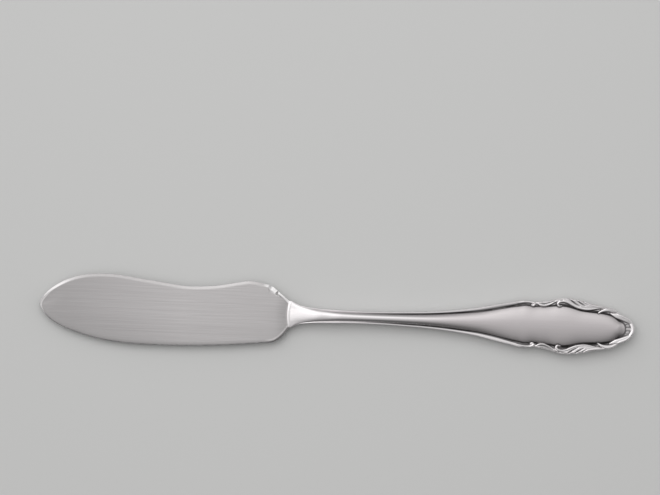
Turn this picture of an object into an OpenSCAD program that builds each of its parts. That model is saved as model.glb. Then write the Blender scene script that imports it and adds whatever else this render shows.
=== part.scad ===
// Butter knife: a ground steel blade whose tang is cemented into a hollow handle.
// The handle is two struck half shells, soldered edge to edge, with a ferrule at its mouth.
// X runs from the blade's tip to the handle's end, Y towards the blade's spine, Z up from the table.

/* [Blade] */
// Length of the blade from the joint to its tip
blade_length = 73; // [60:0.5:90]
// Height of the spine's hump above the knife's axis, near the tip
spine_hump = 9.7; // [8:0.1:12]
// Height of the spine's waist above the axis
spine_waist = 7; // [5.5:0.1:8.5]
// Height of the spine's shoulder above the axis, near the handle
spine_shoulder = 9.2; // [7.5:0.1:11]
// Depth of the spreading edge below the axis
edge_drop = 10.5; // [8.5:0.1:13]
// Thickness of the blade
blade_thickness = 1.4; // [1:0.1:1.8]
// Thickness left at the spreading edge
edge_thickness = 0.5; // [0.3:0.05:0.8]
// Width of the ground bevel along the spreading edge
edge_bevel = 1.6; // [0.8:0.1:2]
// Width and depth of the eased corners along the spine
spine_bevel = 0.4; // [0.2:0.05:0.45]

/* [Tang] */
// Length of the tang from the joint into the handle
tang_length = 46; // [25:1:60]
// Width of the tang in the ferrule
tang_width = 2; // [1.4:0.1:2.1]
// Width of the tang at its end
tang_end_width = 1.2; // [0.8:0.1:1.4]
// Thickness of the tang
tang_thickness = 0.9; // [0.6:0.05:0.95]

/* [Handle] */
// Length of the handle from the joint to its end
handle_length = 102; // [94:1:115]
// Width of the handle at its mouth
mouth_width = 8.8; // [7:0.1:10]
// Thickness of the handle at its mouth
mouth_thickness = 2.4; // [2.3:0.1:3.2]
// Thickness at the foot of the mouth's border
mouth_foot = 2; // [1.9:0.05:2.2]
// Length over which the mouth's flare thickens to the neck
flare_length = 10.5; // [6:0.5:14]
// Distance from the joint to the narrowest place of the neck
neck_at = 20.5; // [15:0.5:26]
// Width of the neck at its narrowest
neck_width = 3.8; // [3.4:0.1:5]
// Thickness of the neck
neck_thickness = 4.8; // [3.6:0.1:5.2]
// Distance from the joint to where the scroll border starts
shoulder_at = 70.5; // [64:0.5:76]
// Width of the handle where the scroll border starts
shoulder_width = 13.7; // [11:0.1:15]
// Width of the handle across its widest scrolls
handle_width = 16.4; // [14:0.1:19]
// Thickness of the handle over its smooth field
body_thickness = 4.6; // [4:0.1:6]

/* [Border] */
// Thickness of the handle at the foot of its border
border_thickness = 2.4; // [2:0.1:3]
// Width of the thread that runs along the handle's edges
thread_width = 0.6; // [0.4:0.05:0.8]
// Height of the thread
thread_height = 0.25; // [0.1:0.05:0.4]
// Width of the scroll border
scroll_width = 2; // [1.2:0.1:2.4]
// Height of the scroll border
scroll_height = 1.2; // [0.5:0.1:1.4]

/* [Shells] */
// Wall of the half shells
shell_wall = 0.5; // [0.3:0.05:0.6]
// Thickness of the solder film between the half shells
solder_film = 0.1; // [0.05:0.01:0.2]

/* [Ferrule] */
// Length of the ferrule along the knife
ferrule_length = 0.8; // [0.5:0.1:1.5]
// How far the joint bulges towards the blade
joint_bulge = 0.6; // [0:0.1:1]

/* [Fits] */
// Clearance round the tang in the ferrule's slot
slot_clearance = 0.1; // [0.05:0.01:0.2]
// Bond gap between the cement and what it fills
bond_gap = 0.04; // [0.02:0.01:0.1]

/* [Hidden] */

// Points drawn between two knots of an outline
blade_steps = 3;
handle_steps = 2;
// Points across the curved joint
joint_steps = 8;
// Length over which the thread fades in behind the mouth
thread_fade = 5;
// Length over which the thread widens into the scroll border
scroll_fade = 3;
// Length over which the joint's bulge dies away along the handle
bulge_fade = 6;
// Length at the handle's end over which the ribs fan out
fan_length = 8;
// Length from the last rib's foot to the handle's end
fan_reach = 4;
// Exponent of the field's crown: lower is fuller
crown_power = 0.7;
// Exponent of the flare's rise from the mouth: at 1 it is a straight ramp
flare_power = 1.3;
// Length by which a cut or a joined piece runs past the face that it meets
sink = 1;
// Stations over which the spine's eased corner turns into the edge's grind, round the tip
tip_blend = 8;

// Smooth curves

function mix(a, b, u) = a + (b - a) * u;
function clamp01(u) = min(1, max(0, u));
function ease(u) = let (c = clamp01(u)) c * c * (3 - 2 * c);

// Slope at knot b, weighted by the distances to its neighbours
function slope(a, b, c) =
    let (d0 = norm(b - a), d1 = norm(c - b))
    ((c - b) / d1 * d0 + (b - a) / d0 * d1) / (d0 + d1);

// Cubic from a to b with slopes ma and mb, at share u
function cubic(a, b, ma, mb, u) =
    let (d = norm(b - a), v = 1 - u)
    a * (1 + 2 * u) * v * v + b * (1 + 2 * v) * u * u + (ma * v - mb * u) * d * u * v;

// Smooth curve through knots; before and after only lend their direction to its ends
function smooth_curve(knots, before, after, steps) =
    let (k = concat([before], knots, [after]))
    concat(
        [for (i = [1 : len(knots) - 1]) for (s = [0 : steps - 1])
            cubic(k[i], k[i + 1], slope(k[i - 1], k[i], k[i + 1]), slope(k[i], k[i + 1], k[i + 2]), s / steps)],
        [knots[len(knots) - 1]]
    );

function reversed(list) = [for (i = [len(list) - 1 : -1 : 0]) list[i]];
function mirrored_y(points) = [for (p = points) [p[0], -p[1]]];

// The joint between blade and handle, an arc in plan: its X at a height y
function joint_x(y) = -joint_bulge * (1 - pow(2 * y / mouth_width, 2));

// Blade

// Spine from the joint to the tip, as shares of the blade's length and heights above the axis.
// Both lines start a little inside the handle, where the joint's cut trims them.
spine_knots = [
    [sink / blade_length, mouth_width / 2 - 0.8 * sink],
    [-0.035, mix(mouth_width / 2, spine_shoulder, 0.42)],
    [-0.072, mix(mouth_width / 2, spine_shoulder, 0.78)],
    [-0.1, mix(mouth_width / 2, spine_shoulder, 0.88)],
    [-0.16, spine_shoulder],
    [-0.2, mix(spine_waist, spine_shoulder, 0.78)],
    [-0.28, mix(spine_waist, spine_shoulder, 0.27)],
    [-0.39, spine_waist],
    [-0.56, mix(spine_waist, spine_hump, 0.5)],
    [-0.75, spine_hump],
    [-0.84, 0.92 * spine_hump],
    [-0.92, 0.68 * spine_hump],
    [-0.975, 0.35 * spine_hump],
    [-1, 0]
];
// Spreading edge from the joint to the tip, in the same way
edge_knots = [
    [sink / blade_length, -mouth_width / 2 + 1.1 * sink],
    [-0.03, mix(-mouth_width / 2, -0.79 * edge_drop, 0.56)],
    [-0.063, -0.79 * edge_drop],
    [-0.1, -0.83 * edge_drop],
    [-0.2, -0.9 * edge_drop],
    [-0.35, -0.967 * edge_drop],
    [-0.52, -edge_drop],
    [-0.67, -0.97 * edge_drop],
    [-0.75, -0.9 * edge_drop],
    [-0.83, -0.765 * edge_drop],
    [-0.915, -0.555 * edge_drop],
    [-0.955, -0.395 * edge_drop],
    [-0.985, -0.2 * edge_drop],
    [-1, 0]
];

// A line through its knots; past the tip it would turn into the other line
function blade_line(knots, other) =
    let (k = [for (p = knots) [p[0] * blade_length, p[1]]], n = len(k), next = other[n - 2])
    smooth_curve(k, 2 * k[0] - k[1], [next[0] * blade_length, next[1]], blade_steps);
spine_line = blade_line(spine_knots, edge_knots);
edge_line = blade_line(edge_knots, spine_knots);
stations = len(spine_line);

// Inward direction at a point of a line; side is 1 on the spine and -1 on the edge
function inward(line, other, i, side) =
    let (d = i == 0 ? line[1] - line[0] : (i == stations - 1 ? other[i - 1] : line[i + 1]) - line[i - 1])
    side * [-d[1], d[0]] / norm(d);

// Share of the edge's grind at a station: 0 along the spine, 1 along the edge, half at the tip
function grind(i, side) =
    let (turn = ease((i - stations + 1 + tip_blend) / tip_blend) / 2) side > 0 ? turn : 1 - turn;
edge_grind = (blade_thickness - edge_thickness) / 2;

// One side of a station: lower flat, lower rim, upper rim, upper flat
function station_side(line, other, i, side) =
    let (p = line[i],
         flat = p + mix(spine_bevel, edge_bevel, grind(i, side)) * inward(line, other, i, side),
         half = blade_thickness / 2,
         rim = half - mix(spine_bevel, edge_grind, grind(i, side)))
    [[flat[0], flat[1], -half], [p[0], p[1], -rim], [p[0], p[1], rim], [flat[0], flat[1], half]];

// The blade is a skin over its stations, which fold shut at the tip
module blade_body() {
    loop = 8;
    points = [for (i = [0 : stations - 1]) each concat(
        station_side(spine_line, edge_line, i, 1),
        reversed(station_side(edge_line, spine_line, i, -1))
    )];
    function index(i, j) = i * loop + (i < stations - 1 ? j % loop : min(j % loop, loop - 1 - j % loop));
    skin = [for (i = [0 : stations - 2]) for (j = [0 : loop - 1])
        let (a = index(i, j), b = index(i, j + 1), c = index(i + 1, j + 1), d = index(i + 1, j))
        each c == d ? [[a, b, c]] : [[a, b, c], [a, c, d]]];
    polyhedron(points, concat([[for (j = [loop - 1 : -1 : 0]) j]], skin));
}

// Everything on the handle's side of the joint
joint_overrun = 2;
module beyond_joint() {
    last = joint_steps + joint_overrun;
    arc = [for (i = [-joint_overrun : last])
        let (y = mix(-mouth_width / 2, mouth_width / 2, i / joint_steps)) [joint_x(y), y]];
    far = arc[0][0] + mouth_width;
    translate([0, 0, -blade_thickness])
        linear_extrude(2 * blade_thickness)
            polygon(concat([[far, arc[0][1]]], arc, [[far, arc[len(arc) - 1][1]]]));
}

// Plan of the tang with a margin all round, starting at x
function tang_plan(start, margin) = let (a = tang_width / 2 + margin, b = tang_end_width / 2 + margin)
    [[start, -a], [tang_length + margin, -b], [tang_length + margin, b], [start, a]];

module tang(start, margin) {
    thickness = tang_thickness + 2 * margin;
    translate([0, 0, -thickness / 2])
        linear_extrude(thickness)
            polygon(tang_plan(start, margin));
}

module blade() {
    color("lightgray") union() {
        difference() {
            blade_body();
            beyond_joint();
        }
        tang(-joint_bulge - sink, 0);
    }
}

// Handle

// Half width from the mouth to the neck, as shares of the way
flare_shares = [[0, 1], [0.12, 0.53], [0.3, 0.25], [0.6, 0.08]];
// Half width from the neck to the scroll border
swell_shares = [[0, 0], [0.27, 0.05], [0.5, 0.19], [0.7, 0.45], [0.88, 0.82]];
// Half width along the scroll border to the handle's end
scroll_shares = [
    [0.057, 0.805], [0.14, 0.845], [0.21, 0.885], [0.28, 0.962], [0.365, 1], [0.45, 0.97],
    [0.56, 0.89], [0.62, 0.83], [0.73, 0.757], [0.79, 0.72], [0.835, 0.62], [0.875, 0.51],
    [0.93, 0.42], [0.965, 0.31], [0.99, 0.16]
];

mouth_at = ferrule_length;
handle_knots = concat(
    [for (k = flare_shares) [mix(mouth_at, neck_at, k[0]), mix(neck_width, mouth_width, k[1]) / 2]],
    [for (k = swell_shares) [mix(neck_at, shoulder_at, k[0]), mix(neck_width, shoulder_width, k[1]) / 2]],
    [[shoulder_at, shoulder_width / 2]],
    [for (k = scroll_shares) [mix(shoulder_at, handle_length, k[0]), k[1] * handle_width / 2]],
    [[handle_length, 0]]
);

// Upper edge of the handle from its mouth to its end
handle_edge = let (k = handle_knots, n = len(k))
    smooth_curve(k, 2 * k[0] - k[1], [k[n - 2][0], -k[n - 2][1]], handle_steps);
rows = len(handle_edge) - 1;

// Each rib starts on the axis; towards the end the ribs fan out from feet that lie closer together
fan_at = handle_length - fan_length;
fan_first = min([for (i = [0 : rows]) if (handle_edge[i][0] > fan_at) i]);
function rib_foot(i) = i < fan_first ? [handle_edge[i][0], 0]
    : [mix(handle_edge[fan_first][0], handle_length - fan_reach, (i - fan_first) / (rows - fan_first)), 0];
function rib_length(i) = norm(handle_edge[i] - rib_foot(i));

// Height of the crown above the mid plane, and of the border's foot and bead
function flare(x) = 1 - pow(1 - clamp01((x - mouth_at) / flare_length), flare_power);
function crown_z(x) = x < neck_at
    ? mix(mouth_thickness, neck_thickness, flare(x)) / 2
    : mix(neck_thickness, body_thickness, ease((x - neck_at) / (shoulder_at - neck_at))) / 2;
function foot_z(x) = mix(mouth_foot, border_thickness, flare(x)) / 2;
function scrolls(x) = ease((x - shoulder_at) / scroll_fade);
function band(x) = mix(thread_width, scroll_width, scrolls(x));
function bead(x) = mix(thread_height * ease((x - mouth_at) / thread_fade), scroll_height, scrolls(x));
function crown(q) = pow(max(0, 1 - q * q), crown_power);

// Half a rib's outer profile from the axis to the seam: distance from the axis and height
crown_shares = [0, 0.35, 0.62, 0.82, 0.94, 1];
bead_shares = [[0.85, 0.6], [0.5, 1], [0.15, 0.75], [0, 0.15]];
seam_z = solder_film / 2;
function outer_profile(i) =
    let (x = handle_edge[i][0], r = rib_length(i), b = band(x), foot = foot_z(x), top = crown_z(x) - foot)
    concat(
        [for (q = crown_shares) [q * (r - b), foot + top * crown(q)]],
        [for (s = bead_shares) [r - s[0] * b, foot + s[1] * bead(x)]],
        [[r, seam_z]]
    );

// Half a rib's inner profile, one wall inside the crown, down to the seam
inner_shares = [0, 0.5, 0.82, 1];
function inner_profile(i, wall) =
    let (x = handle_edge[i][0],
         r = rib_length(i) - wall,
         g = min(r, rib_length(i) - band(x)) - wall / 2,
         foot = foot_z(x) - wall,
         top = crown_z(x) - foot_z(x))
    concat(
        [for (q = inner_shares) [q * g, foot + top * crown(q)]],
        [[r, foot], [r, seam_z]]
    );

// A profile point carried to its rib, on side +1 or -1; the mouth's rib bulges with the joint
function on_rib(i, s, side) =
    let (edge = handle_edge[i],
         foot = rib_foot(i),
         q = foot + s[0] * (edge - foot) / norm(edge - foot),
         bulge = joint_x(q[1]) * (1 - ease((edge[0] - mouth_at) / bulge_fade)))
    [q[0] + bulge, side * q[1], s[1]];

// One rib from the lower seam over the axis to the upper seam
function rib(i, profile) = let (n = len(profile)) concat(
    [for (k = [n - 1 : -1 : 0]) on_rib(i, profile[k], -1)],
    [for (k = [1 : n - 1]) on_rib(i, profile[k], 1)]
);
function outer_rib(i) = rib(i, outer_profile(i));
function inner_rib(i, wall) = rib(i, inner_profile(i, wall));

outer_cols = len(outer_rib(0));
inner_cols = len(inner_rib(0, shell_wall));

// Index of a point on a skin of ribs: the last rib folds shut on itself, so its two halves share points
function skin_index(i, j, cols) = i * cols + (i < rows ? j : max(j, cols - 1 - j));

function flipped(faces) = [for (f = faces) reversed(f)];

// Triangles of a flat loop, all from its first point, for a loop that has points in line with each other
function fan(loop) = [for (k = [1 : len(loop) - 2]) [loop[0], loop[k], loop[k + 1]]];

// Triangles of a skin of ribs, facing up; those that the fold at the end closes are left out
function skin_faces(cols, first) = [for (i = [0 : rows - 1]) for (j = [0 : cols - 2])
    let (a = skin_index(i, j, cols), b = skin_index(i, j + 1, cols),
         c = skin_index(i + 1, j + 1, cols), d = skin_index(i + 1, j, cols))
    each [[first + a, first + b, first + c], [first + a, first + c, first + d]]];

// A half shell: outer skin, inner skin, the two seam lands and the open mouth's end
module half_shell() {
    outer_points = [for (i = [0 : rows]) each outer_rib(i)];
    inner_points = [for (i = [0 : rows]) each inner_rib(i, shell_wall)];
    first = len(outer_points);
    step = (outer_cols - 1) / (inner_cols - 1);
    function outer(i, j) = skin_index(i, j, outer_cols);
    function inner(i, j) = first + skin_index(i, j, inner_cols);
    lands = [for (i = [0 : rows - 1]) each [
        [outer(i, 0), outer(i + 1, 0), inner(i + 1, 0)],
        [outer(i, 0), inner(i + 1, 0), inner(i, 0)],
        [outer(i, outer_cols - 1), inner(i, inner_cols - 1), inner(i + 1, inner_cols - 1)],
        [outer(i, outer_cols - 1), inner(i + 1, inner_cols - 1), outer(i + 1, outer_cols - 1)]
    ]];
    mouth = [for (j = [0 : inner_cols - 2])
        concat([for (k = [step * (j + 1) : -1 : step * j]) outer(0, k)], [inner(0, j), inner(0, j + 1)])];
    polyhedron(
        concat(outer_points, inner_points),
        concat(skin_faces(outer_cols, 0), flipped(skin_faces(inner_cols, first)), lands, mouth)
    );
}

module front_shell() {
    color("silver") half_shell();
}

module back_shell() {
    color("silver") mirror([0, 0, 1]) half_shell();
}

// Inside of the handle

// The cement fills the shells round the tang, less the bond gap
module cement_core() {
    wall = shell_wall + bond_gap;
    half = [for (i = [0 : rows]) each inner_rib(i, wall)];
    low = [for (p = half) [p[0], p[1], -p[2]]];
    first = len(half);
    function top(i, j) = skin_index(i, j, inner_cols);
    function under(i, j) = first + skin_index(i, j, inner_cols);
    sides = [for (i = [0 : rows - 1]) for (j = [0, inner_cols - 1])
        let (quad = [top(i, j), top(i + 1, j), under(i + 1, j), under(i, j)])
        each [for (t = [[quad[0], quad[1], quad[2]], [quad[0], quad[2], quad[3]]]) j == 0 ? t : reversed(t)]];

    // The tang's bed: four corners at the mouth, then four at its end
    plan = tang_plan(-joint_bulge - sink, bond_gap);
    near_x = mouth_at + joint_x(plan[3][1]);
    near_y = mix(plan[3][1], plan[2][1], (near_x - plan[3][0]) / (plan[2][0] - plan[3][0]));
    high = tang_thickness / 2 + bond_gap;
    corners = [[-1, -1], [1, -1], [1, 1], [-1, 1]];
    bed = concat(
        [for (c = corners) [near_x, c[0] * near_y, c[1] * high]],
        [for (c = corners) [plan[2][0], c[0] * plan[2][1], c[1] * high]]
    );
    n = 2 * first;
    f = n + len(corners);
    bed_faces = [
        [f + 3, f + 2, n + 2, n + 3],
        [n + 1, f + 1, f, n],
        [n + 2, f + 2, f + 1, n + 1],
        [n, f, f + 3, n + 3],
        [f + 1, f + 2, f + 3, f]
    ];

    // The mouth's end: strips at both sides, and a ring round the bed between the middle columns
    last = inner_cols - 1;
    mid = last / 2;
    strips = [for (j = [2 : last - 3]) if (j < mid - 1 || j > mid)
        [top(0, j + 1), top(0, j), under(0, j), under(0, j + 1)]];
    ends = concat(
        fan([top(0, 2), top(0, 1), top(0, 0), under(0, 0), under(0, 1), under(0, 2)]),
        fan([
            top(0, last - 2), under(0, last - 2), under(0, last - 1),
            under(0, last), top(0, last), top(0, last - 1)
        ])
    );
    ring = [
        [top(0, mid + 1), top(0, mid), n + 2],
        [top(0, mid), n + 3, n + 2],
        [top(0, mid), top(0, mid - 1), n + 3],
        [top(0, mid - 1), under(0, mid - 1), n, n + 3],
        [under(0, mid - 1), under(0, mid), n],
        [under(0, mid), n + 1, n],
        [under(0, mid), under(0, mid + 1), n + 1],
        [under(0, mid + 1), top(0, mid + 1), n + 2, n + 1]
    ];
    color("tan") polyhedron(
        concat(half, low, bed),
        concat(
            skin_faces(inner_cols, 0), flipped(skin_faces(inner_cols, first)),
            sides, bed_faces, strips, ends, ring
        )
    );
}

// Film of solder between the two seam lands
module solder_seam() {
    function land(profile_side) = [for (i = [0 : rows]) let (r = profile_side(i)) [r[0], r[1]]];
    outer_edge = land(function (i) outer_rib(i)[outer_cols - 1]);
    inner_edge = land(function (i) inner_rib(i, shell_wall)[inner_cols - 1]);
    color("gainsboro") translate([0, 0, -solder_film / 2]) linear_extrude(solder_film) {
        polygon(concat(
            outer_edge, reversed(mirrored_y(outer_edge)), mirrored_y(inner_edge), reversed(inner_edge)
        ));
    }
}

// Ferrule that closes the handle's mouth round the tang
module ferrule() {
    mouth = outer_rib(0);
    section = concat(
        [for (p = mouth) [p[1], p[2]]],
        [for (p = reversed(mouth)) [p[1], -p[2]]]
    );
    front = [for (i = [0 : joint_steps])
        let (y = mix(-mouth_width / 2, mouth_width / 2, i / joint_steps)) [joint_x(y), y]];
    color("silver") difference() {
        intersection() {
            translate([0, 0, -mouth_thickness])
                linear_extrude(2 * mouth_thickness)
                    polygon(concat(front, reversed([for (p = front) p + [ferrule_length, 0]])));
            translate([-joint_bulge - sink, 0, 0])
                rotate([90, 0, 90])
                    linear_extrude(joint_bulge + ferrule_length + 2 * sink)
                        polygon(section);
        }
        tang(-joint_bulge - sink, slot_clearance);
    }
}

// Placing: the origin is under the middle of the knife's box, on the table

outline_points = concat(spine_line, edge_line, handle_edge, mirrored_y(handle_edge));
low_x = min([for (p = outline_points) p[0]]);
high_x = max([for (p = outline_points) p[0]]);
low_y = min([for (p = outline_points) p[1]]);
high_y = max([for (p = outline_points) p[1]]);
half_thickness = max([for (i = [0 : rows]) each [for (p = outer_rib(i)) p[2]]]);

module placed() {
    translate([-(low_x + high_x) / 2, -(low_y + high_y) / 2, half_thickness]) children();
}

placed() blade();
placed() ferrule();
placed() front_shell();
placed() back_shell();
placed() cement_core();
placed() solder_seam();
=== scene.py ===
"""Butter knife: a ground steel blade in a hollow plated handle with a struck scroll border.

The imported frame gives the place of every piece. Sizes here are millimetres in the knife's own frame: X runs
from the joint between blade and handle towards the handle's end, Y towards the blade's spine and Z up from
the mid plane between the two half shells.
"""
import logging
import math
from dataclasses import dataclass, field, replace
from enum import Enum

import bmesh
import bpy
import numpy as np
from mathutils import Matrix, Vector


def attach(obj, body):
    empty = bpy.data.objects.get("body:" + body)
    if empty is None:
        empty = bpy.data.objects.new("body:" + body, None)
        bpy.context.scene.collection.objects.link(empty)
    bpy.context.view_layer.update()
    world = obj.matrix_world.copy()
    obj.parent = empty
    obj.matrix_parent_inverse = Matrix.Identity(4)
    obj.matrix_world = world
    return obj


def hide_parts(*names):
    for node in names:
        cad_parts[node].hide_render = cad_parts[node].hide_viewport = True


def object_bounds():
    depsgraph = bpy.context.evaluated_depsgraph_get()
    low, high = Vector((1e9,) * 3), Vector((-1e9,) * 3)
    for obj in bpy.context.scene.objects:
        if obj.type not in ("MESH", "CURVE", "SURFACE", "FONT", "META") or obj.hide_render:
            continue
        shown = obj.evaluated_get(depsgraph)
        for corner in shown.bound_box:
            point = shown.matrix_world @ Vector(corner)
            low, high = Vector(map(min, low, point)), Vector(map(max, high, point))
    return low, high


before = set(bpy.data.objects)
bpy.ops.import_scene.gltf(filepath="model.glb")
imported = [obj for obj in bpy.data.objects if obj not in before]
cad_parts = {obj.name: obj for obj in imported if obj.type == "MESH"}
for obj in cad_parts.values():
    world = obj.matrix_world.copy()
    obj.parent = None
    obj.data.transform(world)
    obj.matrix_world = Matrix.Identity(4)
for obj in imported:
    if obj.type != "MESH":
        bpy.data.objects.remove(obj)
CAD_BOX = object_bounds()

MM = 0.001
MERGE_DISTANCE = 0.001 * MM
SHARP_ANGLE = math.radians(50)
TINY = 1e-9
BODY = "root"
LOG = logging.getLogger("butter_knife")

Array = np.ndarray
Material, NodeTree, NodeSocket = bpy.types.Material, bpy.types.NodeTree, bpy.types.NodeSocket

# A table holds knots of X and a value; a span holds the two ends of a change
Table = tuple[tuple[float, float], ...]
Span = tuple[float, float]


# Curves and grids


def mix(a: Array | float, b: Array | float, u: Array | float) -> Array | float:
    """Goes from a to b as u goes from 0 to 1."""
    return a + (b - a) * u


def ease(u: Array | float) -> Array:
    """Rises from 0 to 1 with level ends: three squares less two cubes."""
    c = np.clip(u, 0, 1)
    return c * c * (3 - 2 * c)


def lengths(rows: Array) -> Array:
    """Gives the lengths of rows in plan, as a column."""
    return np.linalg.norm(rows[:, :2], axis=1)[:, None]


def rise(x: Array, span: Span) -> Array:
    """Eases from 0 at the start of a span, which may run backwards, to 1 at its end."""
    return ease((x - span[0]) / (span[1] - span[0]))


def smooth_curve(knots: Array, before: Array, after: Array, per_span: int = 40) -> Array:
    """Draws a smooth curve through knots.

    Each span is a cubic whose slope at a knot is the mean of its two chords' directions, each weighted by
    the other chord's length. Columns past X and Y, such as a half width, go along with the same weights.

    Args:
        knots: Points of the curve, one a row.
        before: Point that lends its direction to the start.
        after: Point that lends its direction to the end.
        per_span: Points drawn from one knot to the next.

    Returns:
        The curve's points, one a row.
    """
    chain = np.vstack([before, knots, after])
    chord = np.diff(chain, axis=0)
    length = lengths(chord)
    unit = chord / length
    slope = (unit[1:] * length[:-1] + unit[:-1] * length[1:]) / (length[:-1] + length[1:])
    u = np.linspace(0, 1, per_span, endpoint=False)[None, :, None]
    v = 1 - u
    bend = (slope[:-1, None] * v - slope[1:, None] * u) * length[1:-1, None] * u * v
    span = knots[:-1, None] * (1 + 2 * u) * v * v + knots[1:, None] * (1 + 2 * v) * u * u + bend
    return np.vstack([span.reshape(-1, knots.shape[1]), knots[-1:]])


def open_curve(knots: Array) -> Array:
    """Draws a smooth curve whose ends run on as they come."""
    return smooth_curve(knots, 2 * knots[0] - knots[1], 2 * knots[-1] - knots[-2])


def straight_at(x: Array, table: Table) -> Array:
    """Reads a table at x, straight from knot to knot and level past its ends."""
    return np.interp(x, *np.array(table).T)


def smooth_at(x: Array, table: Table) -> Array:
    """Reads a table at x along the smooth curve through its knots, level past its ends."""
    return np.interp(x, *open_curve(np.array(table)).T)


def travelled(curve: Array) -> Array:
    """Adds up the way along a curve, from 0 at its first point."""
    step = np.linalg.norm(np.diff(curve[:, :2], axis=0), axis=1)
    return np.concatenate([[0.0], np.cumsum(step)])


def along(curve: Array, way: Array, at: Array) -> Array:
    """Reads a curve's columns where the way along it, which only rises, has the values at."""
    return np.column_stack([np.interp(at, way, column) for column in curve.T])


def spaced(curve: Array, step: Array | float) -> Array:
    """Spaces points along a curve.

    Args:
        curve: Points of the curve, closer together than the spacing.
        step: Spacing at each of those points, or one spacing for all.

    Returns:
        The ways along the curve at which the spaced points lie.
    """
    way = travelled(curve)
    gap = np.broadcast_to(step, way.shape)
    count = np.concatenate([[0.0], np.cumsum(np.diff(way) * 2 / (gap[1:] + gap[:-1]))])
    return np.interp(np.linspace(0, count[-1], int(np.ceil(count[-1])) + 1), count, way)


def on_chords(start: Array, end: Array, way: Array) -> Array:
    """Places points on straight chords.

    Args:
        start: Starts of the chords in plan, one a row.
        end: Their ends.
        way: Ways along each chord, one chord a row.

    Returns:
        The points as rows, columns and X, Y.
    """
    length = lengths(end - start)
    unit = (end - start) / np.maximum(length, TINY)
    return start[:, None] + unit[:, None] * way[:, :, None]


def nearest(points: Array, curve: Array, block: int = 2000) -> tuple[Array, Array]:
    """Finds the distance from points to a curve's nearest point.

    Args:
        points: Points in plan, one a row.
        curve: Points of the curve, close together.
        block: Points taken at a time.

    Returns:
        The distances, and the numbers of the nearest points.
    """
    found = []
    for part in np.array_split(points, max(1, len(points) // block)):
        square = ((part[:, None, :2] - curve[None, :, :2]) ** 2).sum(axis=-1)
        index = square.argmin(axis=1)
        found.append((np.sqrt(square[np.arange(len(part)), index]), index))
    return np.concatenate([f[0] for f in found]), np.concatenate([f[1] for f in found])


def grid_faces(rows: int, cols: int, first: int = 0) -> Array:
    """Numbers the quads of a grid of points that is stored row by row from the point first on."""
    corner = (first + np.arange(rows - 1)[:, None] * cols + np.arange(cols - 1)[None, :]).reshape(-1, 1)
    return corner + np.array([0, 1, cols + 1, cols])


def strip_faces(one: Array, other: Array) -> Array:
    """Numbers the quads between two lines of as many points."""
    return np.stack([one[:-1], one[1:], other[1:], other[:-1]], axis=-1)


def ring_faces(rows: int, cols: int) -> Array:
    """Numbers the quads of a grid of points that closes on itself in both directions.

    Args:
        rows: Rows of the grid.
        cols: Points in a row.

    Returns:
        The quads, one a row.
    """
    i, j = np.meshgrid(np.arange(rows), np.arange(cols), indexing="ij")
    k, m = (i + 1) % rows, (j + 1) % cols
    return np.stack([i * cols + j, i * cols + m, k * cols + m, k * cols + j], axis=-1).reshape(-1, 4)


@dataclass(frozen=True)
class KnifeFrame:
    """Carries points from the knife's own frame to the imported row."""

    shift: tuple[float, float, float]

    @classmethod
    def from_box(cls, blade_length: float, edge_drop: float) -> "KnifeFrame":
        """Finds the joint from the box's low corner, where the blade's tip and its edge reach."""
        low, high = CAD_BOX
        return cls((low.x / MM + blade_length, low.y / MM + edge_drop, (low.z + high.z) / 2 / MM))

    def to_row(self, points: Array) -> Array:
        """Gives points of the knife in metres in the row's frame."""
        return (points + np.array(self.shift)) * MM


@dataclass(frozen=True)
class Surface:
    """Points, quads, end caps and per-point values of a piece on its way to a mesh."""

    points: Array
    quads: Array
    caps: list[list[int]] = field(default_factory=list)
    values: dict[str, Array] = field(default_factory=dict)

    def mirrored(self) -> "Surface":
        """Adds the mirror image across the knife's axis.

        Returns:
            The surface together with its image.
        """
        count = len(self.points)
        points = np.vstack([self.points, self.points * (1, -1, 1)])
        quads = np.vstack([self.quads, count + self.quads[:, ::-1]])
        caps = [(count + np.array(cap[::-1])).tolist() for cap in self.caps]
        values = {key: np.tile(value, 2) for key, value in self.values.items()}
        return Surface(points, quads, self.caps + caps, values)

    def piece(self, name: str, place: KnifeFrame) -> bpy.types.Object:
        """Makes a closed, outward-facing mesh object that rides on the knife.

        Args:
            name: Name of the piece.
            place: Frame that carries the points to the row.

        Returns:
            The new object.
        """
        mesh = bpy.data.meshes.new(name)
        mesh.from_pydata(place.to_row(self.points).tolist(), [], self.quads.tolist() + self.caps)
        for key, value in self.values.items():
            mesh.attributes.new(key, "FLOAT", "POINT").data.foreach_set("value", value.astype(np.float32))
        work = bmesh.new()
        work.from_mesh(mesh)
        bmesh.ops.remove_doubles(work, verts=work.verts, dist=MERGE_DISTANCE)
        bmesh.ops.recalc_face_normals(work, faces=work.faces)
        work.to_mesh(mesh)
        work.free()
        mesh.polygons.foreach_set("use_smooth", np.ones(len(mesh.polygons), bool))
        mesh.set_sharp_from_angle(angle=SHARP_ANGLE)
        made = bpy.data.objects.new(name, mesh)
        bpy.context.scene.collection.objects.link(made)
        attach(made, BODY)
        LOG.info("%s: %d faces", name, len(mesh.polygons))
        return made


# Finishes

# The sRGB curve: where its straight toe ends, the toe's slope, and the offset and power of the rest
SRGB_TOE, SRGB_SLOPE, SRGB_OFFSET, SRGB_POWER = 0.04045, 12.92, 0.055, 2.4

# Sockets of a Mix node by number: factor, the two numbers, the two colours and the colour that comes out
FACTOR, NUMBER_A, NUMBER_B, COLOUR_A, COLOUR_B, COLOUR_OUT = 0, 2, 3, 6, 7, 2


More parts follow.
